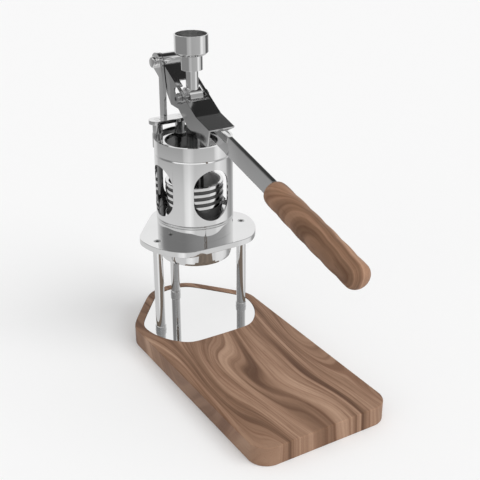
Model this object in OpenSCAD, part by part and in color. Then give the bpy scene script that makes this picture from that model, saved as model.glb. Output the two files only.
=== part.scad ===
// Portable lever espresso machine on a walnut board.
// Origin: on the table, straight below the axis of the brew cylinder.
// +Z is up, -Y points to the user's end of the board, where the handle points.

/* [Board] */
// Distance from the brew axis to the front end of the board
board_front = 244; // [200:1:300]
// Thickness of the board
board_t = 20; // [16:0.5:28]
// Radius of the board's front corners
board_corner_r = 19; // [8:1:30]
// Rounding of the board's upper and lower edges
board_edge = 1; // [0.5:0.25:3]
// Width of the wooden rim round the steel plate
rim_w = 9.5; // [5:0.5:14]
// Thickness of the steel plate let into the board
plate_t = 2; // [1.5:0.25:4]
// How far the plate lies below the top of the board
plate_sunk = 0.5; // [0:0.1:1]

/* [Stand] */
// Reach of the plate and of the platform from the brew axis
deck_reach = 63.6; // [62:0.1:75]
// Distance from the brew axis to their three flat sides
deck_flat = 53.7; // [52.5:0.1:58]
// Thickness of the platform
deck_t = 6; // [4:0.5:8]
// Distance of the legs' middles from the round edge of the plates
leg_inset = 12.5; // [12:0.1:15]
// Angle of the two front legs behind the line through the brew axis
leg_back_angle = -12; // [-20:1:0]
// Diameter of the legs
leg_d = 10; // [7:0.5:11]
// Length of the legs between plate and platform
leg_len = 97.5; // [80:0.5:130]
// Diameter of the platform screws' heads
deck_screw_d = 7; // [6:0.5:9]
// Diameter of the screws that hold the legs
leg_screw_d = 5; // [4:0.5:6]

/* [Brew group] */
// Outer diameter of the shell, the brew head and the top ring
shell_d = 80; // [79:0.5:82]
// Wall of the shell
shell_wall = 2; // [1.5:0.25:2.5]
// Height of the shell between brew head and top ring
shell_h = 69; // [63:1:80]
// Width of the four windows
window_w = 39; // [30:1:42]
// Height of the four windows
window_h = 54; // [44:1:56]
// Height of the brew head above the platform
head_h = 17; // [16:0.5:22]
// Height of the top ring
ring_h = 15; // [12:0.5:22]
// Depth of the ring's ledge below its rim
ledge_sunk = 3.5; // [2:0.25:5]
// Radius of the ring's opening
ledge_r = 29.2; // [25:0.1:31]
// Bore of the brew chamber
chamber_bore = 52; // [48:0.5:53]
// Radial thickness of the chamber at its raised bands
chamber_wall = 4; // [3.5:0.25:4.5]
// Height of the chamber
chamber_h = 50.5; // [44:0.5:54]
// Height of one raised band, which is also half the pitch of the bands
band_h = 3.4; // [2.5:0.1:4]
// Number of raised bands
band_count = 4; // [2:1:5]
// Height of the filter holder's ring below the platform
holder_h = 18.5; // [12:0.5:20]

/* [Piston] */
// Height of the piston head
piston_h = 14; // [12:0.5:18]
// Diameter of the piston rod
rod_d = 13; // [10:0.5:14]
// Diameter of the stem above the crosshead
stem_d = 12.6; // [10:0.2:14]
// Diameter of the crosshead drum
drum_d = 20; // [18:0.5:21]
// Width of the crosshead drum
drum_w = 14; // [12:0.5:14.5]
// Diameter of the cross pin
pin_d = 6; // [5:0.25:6.5]
// Height of the stem above the cross pin
stem_h = 27.5; // [24:0.5:40]
// Diameter of the collar below the cup
collar_d = 21.8; // [18:0.2:24]
// Height of the collar
collar_h = 15; // [10:0.5:20]
// Outer diameter of the cup
cup_d = 33.6; // [28:0.2:36]
// Height of the cup with its chamfer
cup_h = 20; // [16:0.5:30]
// Wall of the cup
cup_wall = 1.4; // [1:0.1:2.5]

/* [Uprights] */
// Free height of the posts between top ring and bridge
post_h = 10; // [8:0.5:14]
// Diameter of the three posts
post_d = 10.4; // [9:0.2:11]
// Distance of the posts to the left and right of the axis
post_x = 25.7; // [25:0.1:28]
// How far the centres of the bridge's round ends lie outside the posts
bridge_over = 0.8; // [0:0.1:2]
// Distance of the bridge's middle line behind the axis
bridge_y = 28.5; // [28:0.5:30]
// Width of the bridge
bridge_w = 16.5; // [16:0.5:19]
// Thickness of the bridge
bridge_t = 4; // [2.5:0.25:5]
// Thickness of the two uprights
upright_t = 4; // [3:0.25:5]
// Width of the uprights below their eyes
upright_w = 8.8; // [8:0.2:14]
// Radius of the uprights' eyes
eye_r = 9.5; // [8.5:0.25:10.5]
// Height of the lever's pivot above the bridge
pivot_rise = 55; // [52:0.5:62]
// Distance of the pivot behind the brew axis
pivot_y = 42; // [41:0.5:44]
// Diameter of the pivot pin
pivot_d = 8; // [6:0.25:9]

/* [Lever] */
// Slope of the upper arm when the lever is down
arm_slope = 30; // [28:0.5:32]
// Slope of the lower arm and of the handle when the lever is down
bar_slope = 14; // [11:0.5:16]
// Height of the pivot above the cross pin when the lever is down
pin_drop = 28; // [27:0.25:29]
// Outer width of the folded channel
channel_w = 28; // [27.5:0.5:29]
// Thickness of the channel's sheet
sheet_t = 1.6; // [1.2:0.1:2]
// Depth of the channel's sides
channel_depth = 19; // [18:0.5:21]
// Distance from the pivot to the fold, along the upper arm
fold_at = 83.6; // [80:0.2:88]
// Length of the channel beyond the fold
nose_len = 26.5; // [22:0.5:34]
// Length by which the right side's front end slants back under the sheet
side_cut = 22; // [0:0.5:24]
// Height of the channel's top above the pivot, square to the arm
top_rise = 3.7; // [3.4:0.1:4]
// Outer diameter of the lever's hub
hub_d = 17; // [14:0.5:18]
// Height of the lever bar
bar_h = 19; // [14:0.5:20]
// Thickness of the lever bar
bar_t = 5; // [4:0.25:8]
// Length of the ramp on which the bar rises to the sheet's top, past the sheet's end
bar_ramp = 16; // [8:0.5:24]
// Free length of the lever bar from the fold to the grip
bar_len = 121.5; // [100:0.5:160]
// Length of the wooden grip
grip_len = 136; // [100:1:160]
// Largest diameter of the wooden grip
grip_d = 26; // [23:0.2:32]
// How far the grip's middle lies below the sheet's top
grip_drop = 10.3; // [9:0.1:11]
// Number of finger waves along the grip
grip_waves = 6; // [3:1:8]

/* [Hidden] */
$fn = 96;

// Clearances
eps = 0.01;
run_gap = 0.05;
fit_gap = 0.3;
seat_gap = 0.2;

// Levels, from the table up
z_board = board_t;
z_plate = z_board - plate_sunk;
z_deck_low = z_plate + leg_len;
z_deck = z_deck_low + deck_t;
z_shell = z_deck + head_h;
z_ring = z_shell + shell_h;
z_rim = z_ring + ring_h;
z_ledge = z_rim - ledge_sunk;
z_bridge_low = z_rim + post_h;
z_bridge = z_bridge_low + bridge_t;
z_pivot = z_bridge + pivot_rise;
z_pin = z_pivot - pin_drop;
z_holder = z_deck_low - 4 - holder_h;
z_window = z_shell + window_h / 2 + 5.6;

// Places of the three legs, as a distance from the brew axis and angles round it
leg_place_r = deck_reach - leg_inset;
leg_hole_d = leg_d + 1.7;
leg_angles = [180 - leg_back_angle, leg_back_angle, 90];
flat_angles = [-90, (90 + leg_back_angle) / 2, 180 - (90 + leg_back_angle) / 2];
board_reach = deck_reach + rim_w;
board_flat = deck_flat + rim_w;

// Radii and heights in the brew group
shell_r = shell_d / 2;
bore_r = chamber_bore / 2;
chamber_r = bore_r + chamber_wall;
band_depth = 1.3;
socket_r = chamber_r + run_gap;
spigot_r = shell_r - shell_wall - 0.1;
spigot_h = 2.5;
neck_r = 34.2;
lug_r = 36.2;
lug_h = 3;
lug_angle = 30;
lip_angle = 52;
lip_h = 3;
lug_count = 3;
head_skirt = 3.7;
holder_top = z_deck_low - head_skirt - fit_gap;
lip_z = z_deck_low - head_skirt;
lug_z = lip_z + lip_h + seat_gap;
cavity_z = lug_z + lug_h + 0.8;
basket_r = 28.2;
basket_wall = 0.8;
basket_flange_t = 1.2;
flange_r = 31.5;
gasket_t = 3.2;
screen_t = 1;
gasket_z = cavity_z + basket_flange_t + run_gap;
screen_z = gasket_z + gasket_t;
screen_r = bore_r + 1.2;
chamber_z = screen_z + screen_t + fit_gap;
seal_wire = 2.6;

// The piston at the bottom of its stroke
piston_z = chamber_z;
rod_foot = piston_z + piston_h;

// The lever in its own plane: forward from the pivot, and up from it, square to the arm
hub_r = hub_d / 2;
inner_x = channel_w / 2 - sheet_t;
upright_x = channel_w / 2 + 0.4;
washer_t = 1.2;
nut_t = 1.2;
pin_reach = norm([pivot_y, pin_drop]);
pin_angle = atan(pin_drop / pivot_y) - arm_slope;
slot_play = 1.65;
slot_near = pivot_y - 0.5;
slot_far = pin_reach + 0.5;
window_near = pivot_y - drum_d / 2;
window_wide = pivot_y - 1.4;
window_far = pin_reach + stem_d / 2 + 6.4;
bend = arm_slope - bar_slope;
bar_drop = top_rise - sheet_t;
tang_h = 12;
tang_len = grip_len * 0.55;

function arc(centre, r, a0, a1, n) =
    [for (i = [0 : n]) centre + r * [cos(a0 + (a1 - a0) * i / n), sin(a0 + (a1 - a0) * i / n)]];

// Distance of a rounded plate's edge from the axis, a circle with three flats, softly blended
blend = 26;
function plate_edge(a, reach, flat) =
    let (cut = [for (f = flat_angles) pow(max(cos(a - f), 0.01) / flat, blend)])
    pow(pow(1 / reach, blend) + cut[0] + cut[1] + cut[2], -1 / blend);

function plate_outline(reach, flat, a0 = 0, a1 = 356, n = 90) =
    [for (i = [0 : n - 1]) let (a = a0 + (a1 - a0) * i / (n - 1))
        plate_edge(a, reach, flat) * [cos(a), sin(a)]];

module tube(r_out, r_in, h) {
    difference() {
        cylinder(r = r_out, h = h);
        translate([0, 0, -eps]) cylinder(r = r_in, h = h + 2 * eps);
    }
}

module at_legs() {
    for (a = leg_angles) translate([leg_place_r * cos(a), leg_place_r * sin(a), 0]) children();
}

// Lays a drawing of forward and upward distances into the lever's plane, centred on it
module lever_plane(thickness) {
    translate([0, pivot_y, z_pivot]) rotate([arm_slope, 0, 0]) rotate([90, 0, -90])
        linear_extrude(thickness, center = true) children();
}

// The lever's frame for solids: X forward, Y up, Z to the left
module lever_frame() {
    translate([0, pivot_y, z_pivot]) rotate([arm_slope, 0, 0]) rotate([90, 0, -90]) children();
}

// The frame of the lower arm: origin at the fold, on the channel's top
module bar_frame() {
    lever_frame() translate([fold_at, top_rise, 0]) rotate([0, 0, bend]) children();
}

module along_x(x0, x1, r) {
    translate([x0, 0, 0]) rotate([0, 90, 0]) cylinder(r = r, h = x1 - x0);
}

module at_pivot() {
    translate([0, pivot_y, z_pivot]) children();
}

module at_pin() {
    translate([0, 0, z_pin]) children();
}

// Board, plate and legs

function board_outline(inset = 0) =
    let (r = board_corner_r - inset, x = board_reach - inset, y = -board_front + inset)
    concat(arc([-x + r, y + r], r, 180, 270, 8), arc([x - r, y + r], r, 270, 360, 8),
        plate_outline(board_reach - inset, board_flat - inset, 0, 180, 46));

module base_board() {
    color([0.55, 0.43, 0.36]) difference() {
        union() {
            linear_extrude(board_edge) polygon(board_outline(board_edge / 2));
            translate([0, 0, board_edge]) linear_extrude(board_t - 2 * board_edge)
                polygon(board_outline());
            translate([0, 0, board_t - board_edge]) linear_extrude(board_edge)
                polygon(board_outline(board_edge / 2));
        }
        translate([0, 0, z_plate - plate_t]) linear_extrude(board_t)
            polygon(plate_outline(deck_reach + fit_gap, deck_flat + fit_gap));
        at_legs() {
            translate([0, 0, -eps]) cylinder(d = leg_screw_d + 6, h = leg_screw_d + 1 + eps);
            translate([0, 0, -eps]) cylinder(d = leg_screw_d + 0.6, h = board_t);
        }
    }
}

module base_plate() {
    color([0.86, 0.86, 0.87]) difference() {
        translate([0, 0, z_plate - plate_t]) linear_extrude(plate_t)
            polygon(plate_outline(deck_reach, deck_flat));
        at_legs() translate([0, 0, z_plate - plate_t - eps])
            cylinder(d = leg_hole_d, h = plate_t + 2 * eps);
    }
}

module base_screws() {
    color([0.3, 0.3, 0.32]) at_legs() difference() {
        union() {
            translate([0, 0, 1]) cylinder(d = leg_screw_d + 4.5, h = leg_screw_d);
            translate([0, 0, leg_screw_d]) cylinder(d = leg_screw_d, h = z_plate + 14 - leg_screw_d);
        }
        translate([0, 0, 1 - eps]) cylinder(d = leg_screw_d - 0.5, h = leg_screw_d * 0.6, $fn = 6);
    }
}

module leg(a) {
    color([0.8, 0.8, 0.82]) translate([leg_place_r * cos(a), leg_place_r * sin(a), 0])
    difference() {
        translate([0, 0, z_plate]) rotate_extrude() polygon([
            [0, -plate_t], [leg_d / 2 + 0.8, -plate_t], [leg_d / 2 + 0.8, 4], [leg_d / 2 + 0.4, 4.6],
            [leg_d / 2, 5], [leg_d / 2, leg_len], [0, leg_len]]);
        translate([0, 0, z_plate - plate_t - eps]) cylinder(r = leg_screw_d / 2 + run_gap, h = 15 + plate_t);
        translate([0, 0, z_deck_low - 15]) cylinder(r = leg_screw_d / 2 + run_gap, h = 15 + eps);
    }
}

module leg_left() { leg(leg_angles[0]); }
module leg_right() { leg(leg_angles[1]); }
module leg_rear() { leg(leg_angles[2]); }

module platform() {
    color([0.88, 0.88, 0.89]) difference() {
        translate([0, 0, z_deck_low]) linear_extrude(deck_t)
            polygon(plate_outline(deck_reach, deck_flat));
        translate([0, 0, z_deck_low - eps]) cylinder(r = spigot_r + fit_gap, h = deck_t + 2 * eps);
        at_legs() {
            translate([0, 0, z_deck_low - eps]) cylinder(d = leg_screw_d + 0.2, h = deck_t + 2 * eps);
            translate([0, 0, z_deck - 3]) cylinder(d = deck_screw_d + 0.2, h = 3 + eps);
        }
    }
}

module platform_screws() {
    color([0.6, 0.6, 0.62]) at_legs() difference() {
        union() {
            translate([0, 0, z_deck - 3]) cylinder(d = deck_screw_d, h = 2.9);
            translate([0, 0, z_deck_low - 14]) cylinder(d = leg_screw_d, h = 14 + deck_t - 2.5);
        }
        translate([0, 0, z_deck - 2.1]) cylinder(d = 4.6, h = 2.1, $fn = 6);
    }
}

// Brew head, chamber and filter

module lip_segments() {
    for (i = [0 : lug_count - 1]) rotate([0, 0, -90 - lip_angle / 2 + i * 360 / lug_count])
        rotate_extrude(angle = lip_angle)
            translate([neck_r + fit_gap, lip_z]) square([lug_r - neck_r + 0.7, lip_h]);
}

module brew_head() {
    color([0.7, 0.7, 0.72]) difference() {
        union() {
            difference() {
                rotate_extrude() polygon([
                    [bore_r - 0.5, lip_z], [spigot_r, lip_z], [spigot_r, z_deck],
                    [shell_r, z_deck], [shell_r, z_shell - 0.5], [shell_r - 0.5, z_shell],
                    [spigot_r, z_shell], [spigot_r, z_shell + spigot_h],
                    [bore_r - 0.5, z_shell + spigot_h]]);
                translate([0, 0, lip_z - eps])
                    cylinder(r = lug_r + fit_gap, h = cavity_z - lip_z + eps);
            }
            lip_segments();
        }
        cylinder(r = flange_r + fit_gap, h = screen_z);
        cylinder(r = screen_r + fit_gap, h = chamber_z);
        translate([0, 0, chamber_z]) cylinder(r = socket_r, h = z_shell);
        // Index mark that shows where the filter holder locks
        rotate([0, 0, -103.5]) translate([shell_r - 0.6, -0.6, z_deck + 1]) cube([2, 1.2, 12]);
    }
}

module head_gasket() {
    color([0.75, 0.25, 0.15]) translate([0, 0, gasket_z])
        tube(flange_r + 0.2, bore_r - 0.6, gasket_t);
}

module dispersion_screen() {
    color([0.8, 0.8, 0.8]) translate([0, 0, screen_z]) difference() {
        cylinder(r = screen_r, h = screen_t);
        for (ring = [1 : 3], i = [0 : 6 * ring - 1]) rotate([0, 0, i * 60 / ring])
            translate([ring * bore_r * 0.27, 0, -eps]) cylinder(d = 1.6, h = screen_t + 2 * eps, $fn = 16);
    }
}

module brew_chamber() {
    groove_r = chamber_r - band_depth;
    top = chamber_z + chamber_h;
    color([0.16, 0.16, 0.17]) difference() {
        rotate_extrude() union() {
            translate([bore_r, chamber_z]) square([groove_r - bore_r, chamber_h]);
            translate([bore_r, chamber_z]) square([chamber_wall, z_shell + spigot_h - chamber_z]);
            for (i = [0 : band_count - 1])
                translate([bore_r, top - band_h * (2 * i + 1)]) square([chamber_wall, band_h]);
        }
        translate([0, 0, top - 1]) cylinder(r1 = bore_r, r2 = bore_r + 1, h = 1 + eps);
        translate([0, 0, chamber_z + 4]) tube(chamber_r + 1, chamber_r - 2, seal_wire);
    }
}

module chamber_seal() {
    color([0.1, 0.1, 0.1]) translate([0, 0, chamber_z + 4 + seal_wire / 2]) rotate_extrude()
        translate([chamber_r - 0.95, 0]) circle(d = 1.8, $fn = 24);
}

module window_cut() {
    straight = window_h - window_w;
    for (a = [0 : 90 : 270]) rotate([0, 0, a]) rotate([90, 0, 0]) linear_extrude(shell_r + 5) {
        translate([-window_w / 2, -straight / 2]) square([window_w, straight]);
        for (s = [-1, 1]) translate([0, s * straight / 2]) circle(d = window_w);
    }
}

module shell() {
    color([0.85, 0.85, 0.87]) difference() {
        rotate_extrude() polygon([
            [shell_r - shell_wall, z_shell], [shell_r - 0.5, z_shell], [shell_r, z_shell + 0.5],
            [shell_r, z_ring - 0.5], [shell_r - 0.5, z_ring], [shell_r - shell_wall, z_ring]]);
        translate([0, 0, z_window]) difference() {
            window_cut();
            translate([0, 0, -window_h]) cylinder(r = shell_r - shell_wall - 2, h = 2 * window_h);
        }
    }
}

module ring_ears() {
    for (s = [-1, 1]) translate([s * post_x, bridge_y, z_ring]) cylinder(d = post_d + 1.2, h = ring_h);
}

module top_ring() {
    color([0.82, 0.82, 0.84]) difference() {
        union() {
            translate([0, 0, z_ring]) tube(shell_r, spigot_r, ring_h);
            translate([0, 0, z_ring - spigot_h]) tube(spigot_r, spigot_r - 2, spigot_h + 4);
            translate([0, 0, z_ledge - 4]) tube(spigot_r + eps, ledge_r, 4);
            difference() {
                ring_ears();
                translate([0, 0, z_ring - 1]) cylinder(r = spigot_r, h = ring_h + 2);
            }
            intersection() {
                translate([0, 0, z_ledge - z_ring]) ring_ears();
                translate([0, 0, z_ledge - 4]) cylinder(r = spigot_r + eps, h = 4 + ledge_sunk);
            }
            // Pad under the rear post
            translate([0, bridge_y, z_ledge - 4]) cylinder(d = post_d + 1.2, h = 4);
        }
        for (s = [-1, 1]) translate([s * post_x, bridge_y, z_ring - eps]) {
            cylinder(d = 4.4, h = ring_h + 1);
            translate([0, 0, -spigot_h]) cylinder(d = 7.4, h = spigot_h + 4);
        }
        translate([0, bridge_y, z_ledge - 5]) cylinder(d = 4 + 2 * run_gap, h = 6);
    }
}

module filter_holder() {
    color([0.78, 0.78, 0.8]) difference() {
        union() {
            rotate_extrude() polygon([
                [basket_r + fit_gap, z_holder], [shell_r - 5, z_holder],
                [shell_r - 3, z_holder + 0.8], [spigot_r - 0.2, z_holder + 3],
                [spigot_r, z_holder + 5], [spigot_r, holder_top], [neck_r, holder_top],
                [neck_r, cavity_z - 0.3], [basket_r + fit_gap, cavity_z - 0.3]]);
            for (i = [0 : lug_count - 1]) rotate([0, 0, -90 - lug_angle / 2 + i * 360 / lug_count])
                rotate_extrude(angle = lug_angle)
                    translate([neck_r - 1, lug_z]) square([lug_r - neck_r + 1, lug_h]);
        }
    }
}

module filter_basket() {
    floor_z = z_holder + 4;
    color([0.8, 0.8, 0.8]) difference() {
        rotate_extrude() polygon([
            [0, floor_z], [basket_r - 2, floor_z], [basket_r, floor_z + 2],
            [basket_r, cavity_z - 0.3], [flange_r, cavity_z - 0.3],
            [flange_r, cavity_z - 0.3 + basket_flange_t], [basket_r - basket_wall, cavity_z - 0.3 + basket_flange_t],
            [basket_r - basket_wall, floor_z + 2], [basket_r - 2, floor_z + basket_wall],
            [0, floor_z + basket_wall]]);
        for (ring = [1 : 3], i = [0 : 6 * ring - 1]) rotate([0, 0, i * 60 / ring])
            translate([ring * basket_r * 0.28, 0, floor_z - eps])
                cylinder(d = 1.4, h = basket_wall + 2 * eps, $fn = 16);
    }
}

// Posts, bridge and uprights

module post(s) {
    color([0.8, 0.8, 0.82]) translate([s * post_x, bridge_y, 0]) difference() {
        union() {
            translate([0, 0, z_rim]) cylinder(d = post_d, h = post_h);
            translate([0, 0, z_bridge_low - eps]) cylinder(d = 5.9, h = bridge_t);
        }
        translate([0, 0, z_rim - eps]) cylinder(d = 4 + 2 * run_gap, h = post_h - 1);
    }
}

module post_left() { post(-1); }
module post_right() { post(1); }

// The third post stands on the ring's ledge, with a stud in it and one in the bridge
module post_rear() {
    color([0.8, 0.8, 0.82]) translate([0, bridge_y, 0]) union() {
        translate([0, 0, z_ledge]) cylinder(d = post_d, h = z_bridge_low - z_ledge);
        translate([0, 0, z_bridge_low - eps]) cylinder(d = 5.9, h = bridge_t);
        translate([0, 0, z_ledge - 4]) cylinder(d = 4, h = 4 + eps);
    }
}

module post_screws() {
    color([0.3, 0.3, 0.32]) for (s = [-1, 1]) translate([s * post_x, bridge_y, 0]) difference() {
        union() {
            translate([0, 0, z_ring + 0.4]) cylinder(d = 7, h = 3.6 - 0.2);
            translate([0, 0, z_ring + 2]) cylinder(d = 4, h = ring_h + post_h - 4);
        }
        translate([0, 0, z_ring + 0.4 - eps]) cylinder(d = 3.5, h = 2, $fn = 6);
    }
}

module bridge_plate() {
    end_x = post_x + bridge_over;
    color([0.85, 0.85, 0.87]) translate([0, bridge_y, z_bridge_low]) difference() {
        union() {
            translate([-end_x, -bridge_w / 2, 0]) cube([2 * end_x, bridge_w, bridge_t]);
            for (s = [-1, 1]) translate([s * end_x, 0, 0]) cylinder(d = bridge_w, h = bridge_t);
        }
        for (s = [-1 : 1]) translate([s * post_x, 0, -eps]) cylinder(d = 6, h = bridge_t + 2 * eps);
    }
}

module upright(s) {
    foot_back = bridge_y + bridge_w / 2;
    foot_front = foot_back - upright_w;
    color([0.72, 0.72, 0.74]) translate([s * (upright_x + upright_t / 2), 0, 0])
    rotate([90, 0, 90]) linear_extrude(upright_t, center = true) difference() {
        union() {
            polygon([
                [foot_back, z_bridge], [foot_back, z_pivot - 14],
                [pivot_y + eye_r * cos(58), z_pivot - eye_r * sin(58)],
                [pivot_y, z_pivot + eye_r * 0.6],
                [pivot_y - eye_r * cos(20), z_pivot + eye_r * sin(20)],
                [foot_front, z_pivot - 25], [foot_front, z_bridge]]);
            translate([pivot_y, z_pivot]) circle(r = eye_r);
        }
        translate([pivot_y, z_pivot]) circle(d = pivot_d + 2 * run_gap);
    }
}

module upright_left() { upright(-1); }
module upright_right() { upright(1); }

module pivot_pin() {
    half = upright_x + upright_t + 3.2;
    color([0.75, 0.75, 0.77]) at_pivot() along_x(-half, half, pivot_d / 2);
}

module pivot_caps() {
    x0 = upright_x + upright_t;
    color([0.8, 0.8, 0.82]) at_pivot() for (s = [-1, 1]) rotate([0, 90 * s, 0])
    difference() {
        translate([0, 0, x0]) rotate_extrude() polygon([
            [0, 0], [eye_r - 3.7, 0], [eye_r - 3.7, 4], [eye_r - 4.7, 5], [0, 5]]);
        translate([0, 0, x0 - eps]) cylinder(d = pivot_d + 2 * run_gap, h = 3.4);
    }
}

// Lever

// Outline of one side of the channel, from the eye to the nose
function side_outline() =
    let (fold = [fold_at, top_rise],
        ahead = [cos(bend), sin(bend)],
        down = [sin(bend), -cos(bend)],
        tip = fold + nose_len * ahead,
        corner_r = 1.5,
        corner = tip + (channel_depth - corner_r) * down - corner_r * ahead,
        belly = tip + channel_depth * down - (nose_len + 13) * ahead,
        low = top_rise - channel_depth)
    concat([[0, top_rise], fold, tip],
        arc(corner, corner_r, bend, bend - 90, 8),
        [belly, [pin_reach + 2.4, low], [pin_reach - 11.8, low - 7.5], [-4, -eye_r + 1.4]]);

// The channel's folded top, as a strip of the sheet's thickness
function top_outline() =
    let (fold = [fold_at, top_rise],
        ahead = [cos(bend), sin(bend)],
        down = [sin(bend), -cos(bend)],
        tip = fold + nose_len * ahead)
    [[hub_r + 0.5, top_rise], fold, tip, tip + sheet_t * down,
        [fold_at + sheet_t * tan(bend / 2), top_rise - sheet_t], [hub_r + 0.5, top_rise - sheet_t]];

// The piece that the slanted front end takes off the right side
function cut_outline() =
    let (ahead = [cos(bend), sin(bend)],
        down = [sin(bend), -cos(bend)],
        start = [fold_at, top_rise] + nose_len * ahead + sheet_t * down)
    [start, start + ahead, start + channel_depth * down + ahead,
        start + channel_depth * down - side_cut * ahead];

module pin_slot() {
    rotate([0, 0, -pin_angle]) {
        translate([slot_near, -pin_d / 2 - slot_play]) square([slot_far - slot_near, pin_d + 2 * slot_play]);
        for (u = [slot_near, slot_far]) translate([u, 0]) circle(r = pin_d / 2 + slot_play);
    }
}

module channel_side(s) {
    translate([s * (channel_w - sheet_t) / 2, 0, 0]) lever_plane(sheet_t) difference() {
        union() {
            polygon(side_outline());
            circle(r = eye_r - 0.5);
        }
        circle(d = pivot_d + 2.4);
        pin_slot();
        if (s > 0) polygon(cut_outline());
    }
}

module lever_channel() {
    color([0.45, 0.45, 0.47]) union() {
        channel_side(-1);
        channel_side(1);
        difference() {
            lever_plane(channel_w - 2 * sheet_t + 2 * eps) polygon(top_outline());
            lever_frame() {
                translate([window_near, 0, -drum_w / 2 - 0.6])
                    cube([window_far - window_near, 2 * top_rise, drum_w + 1.2]);
                translate([window_wide, 0, -inner_x + 1.4])
                    cube([window_far - window_wide, 2 * top_rise, 2 * inner_x - 2.8]);
            }
        }
    }
}

module lever_hub() {
    color([0.75, 0.75, 0.77]) at_pivot() difference() {
        along_x(-inner_x, inner_x, hub_r);
        along_x(-inner_x - 1, inner_x + 1, pivot_d / 2 + 1.2);
    }
}

module pivot_bushes() {
    color([0.75, 0.6, 0.3]) at_pivot() for (s = [-1, 1]) difference() {
        translate([s * (channel_w / 2 - 5), 0, 0]) along_x(-5, 5, pivot_d / 2 + 1.15);
        along_x(-channel_w, channel_w, pivot_d / 2 + run_gap);
    }
}

// Outline of the bar: a tongue under the sheet, then a ramp up to the level of the sheet's top
function bar_outline(inset) =
    let (top = -sheet_t - inset, low = inset - bar_h, past = nose_len + 0.3)
    [[2, low], [bar_len, low], [bar_len, -inset], [past + bar_ramp, -inset], [past, top], [2, top]];

module lever_bar() {
    edge = 0.8;
    color([0.62, 0.62, 0.64]) bar_frame() {
        linear_extrude(bar_t - 2 * edge, center = true) polygon(bar_outline(0));
        linear_extrude(bar_t, center = true) polygon(bar_outline(edge));
        translate([bar_len - eps, -grip_drop - tang_h / 2, 0])
            linear_extrude(bar_t - 2 * edge, center = true) square([tang_len, tang_h]);
    }
}

// Radius of the grip along its length, with shallow finger waves and rounded ends
function grip_radius(s) =
    let (wave = grip_len / grip_waves,
        barrel = 0.9 * sin(180 * s / grip_len),
        ripple = 0.55 * abs(sin(180 * s / wave)),
        nose = min(s, 6),
        tail = min(grip_len - s, 9))
    (grip_d / 2 - 1.45 + barrel + ripple) - (2.4 - 2.4 * sqrt(1 - pow(1 - nose / 6, 2)))
        - (9 - 9 * sqrt(1 - pow(1 - tail / 9, 2)));

module handle_grip() {
    steps = 80;
    color([0.5, 0.38, 0.31]) bar_frame() difference() {
        translate([bar_len, -grip_drop, 0]) rotate([0, 90, 0]) rotate_extrude($fn = 48)
            polygon(concat([[0, 0]],
                [for (i = [0 : steps]) let (s = grip_len * (1 - cos(180 * i / steps)) / 2)
                    [max(grip_radius(s), 0.02), s]],
                [[0, grip_len]]));
        translate([bar_len - eps, -grip_drop - tang_h / 2 - run_gap, 0])
            linear_extrude(bar_t - 1.6 + 2 * run_gap, center = true)
                square([tang_len + 1, tang_h + 2 * run_gap]);
    }
}

// Crosshead, cup and piston

module crosshead() {
    color([0.85, 0.85, 0.87]) difference() {
        union() {
            at_pin() along_x(-drum_w / 2, drum_w / 2, drum_d / 2);
            translate([0, 0, z_pin + 5]) cylinder(d = stem_d, h = stem_h - 5);
            translate([0, 0, z_pin + stem_h - eps]) cylinder(r = 4, h = 8);
        }
        at_pin() along_x(-drum_w, drum_w, pin_d / 2 + run_gap);
        translate([0, 0, z_pin - drum_d]) cylinder(r = 4 + run_gap, h = drum_d - pin_d / 2 - 1);
    }
}

module cross_pin() {
    head_x = upright_x + washer_t;
    color([0.7, 0.7, 0.72]) at_pin() difference() {
        union() {
            along_x(-head_x - eps, head_x + nut_t + 0.2, pin_d / 2);
            along_x(-head_x - 3, -head_x, 5.2);
        }
        translate([-head_x - 3 - eps, 0, 0]) rotate([0, 90, 0]) cylinder(d = 4.6, h = 2, $fn = 6);
    }
}

module pin_washers() {
    color([0.8, 0.8, 0.82]) at_pin() for (s = [-1, 1]) difference() {
        translate([s * (upright_x + washer_t / 2), 0, 0]) along_x(-washer_t / 2, washer_t / 2, 5.8);
        along_x(-channel_w, channel_w, pin_d / 2 + run_gap);
    }
}

module pin_nut() {
    color([0.7, 0.7, 0.72]) at_pin() translate([upright_x + washer_t, 0, 0]) rotate([0, 90, 0])
    difference() {
        cylinder(d = 9.6, h = nut_t, $fn = 6);
        translate([0, 0, -eps]) cylinder(d = pin_d + 2 * run_gap, h = nut_t + 2 * eps);
    }
}

module piston_rod() {
    spigot_top = z_pin - pin_d / 2 - 1.5;
    color([0.75, 0.75, 0.77]) union() {
        difference() {
            translate([0, 0, rod_foot]) cylinder(d = rod_d, h = z_pin - 4 - rod_foot);
            at_pin() along_x(-drum_w, drum_w, drum_d / 2 + 0.1);
        }
        translate([0, 0, z_pin - drum_d / 2 - 3]) cylinder(r = 4, h = spigot_top - z_pin + drum_d / 2 + 3);
        translate([0, 0, rod_foot - 10]) cylinder(r = 4, h = 10 + eps);
    }
}

module piston_head() {
    groove = seal_wire + 0.4;
    color([0.22, 0.22, 0.24]) difference() {
        translate([0, 0, piston_z]) cylinder(r = bore_r - run_gap, h = piston_h);
        for (z = [3, piston_h - 3 - groove]) translate([0, 0, piston_z + z])
            tube(bore_r + 1, bore_r - 2.6, groove);
        translate([0, 0, rod_foot - 10.5]) cylinder(r = 4 + run_gap, h = 11);
    }
}

module piston_seals() {
    groove = seal_wire + 0.4;
    color([0.8, 0.3, 0.15]) for (z = [3, piston_h - 3 - groove])
        translate([0, 0, piston_z + z + groove / 2]) rotate_extrude()
            translate([bore_r - run_gap - seal_wire / 2, 0]) circle(d = seal_wire - 0.2, $fn = 24);
}

module cup_collar() {
    z = z_pin + stem_h;
    color([0.85, 0.85, 0.87]) translate([0, 0, z]) difference() {
        cylinder(d = collar_d, h = collar_h);
        translate([0, 0, -eps]) cylinder(r = 4 + run_gap, h = collar_h + 1);
    }
}

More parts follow.
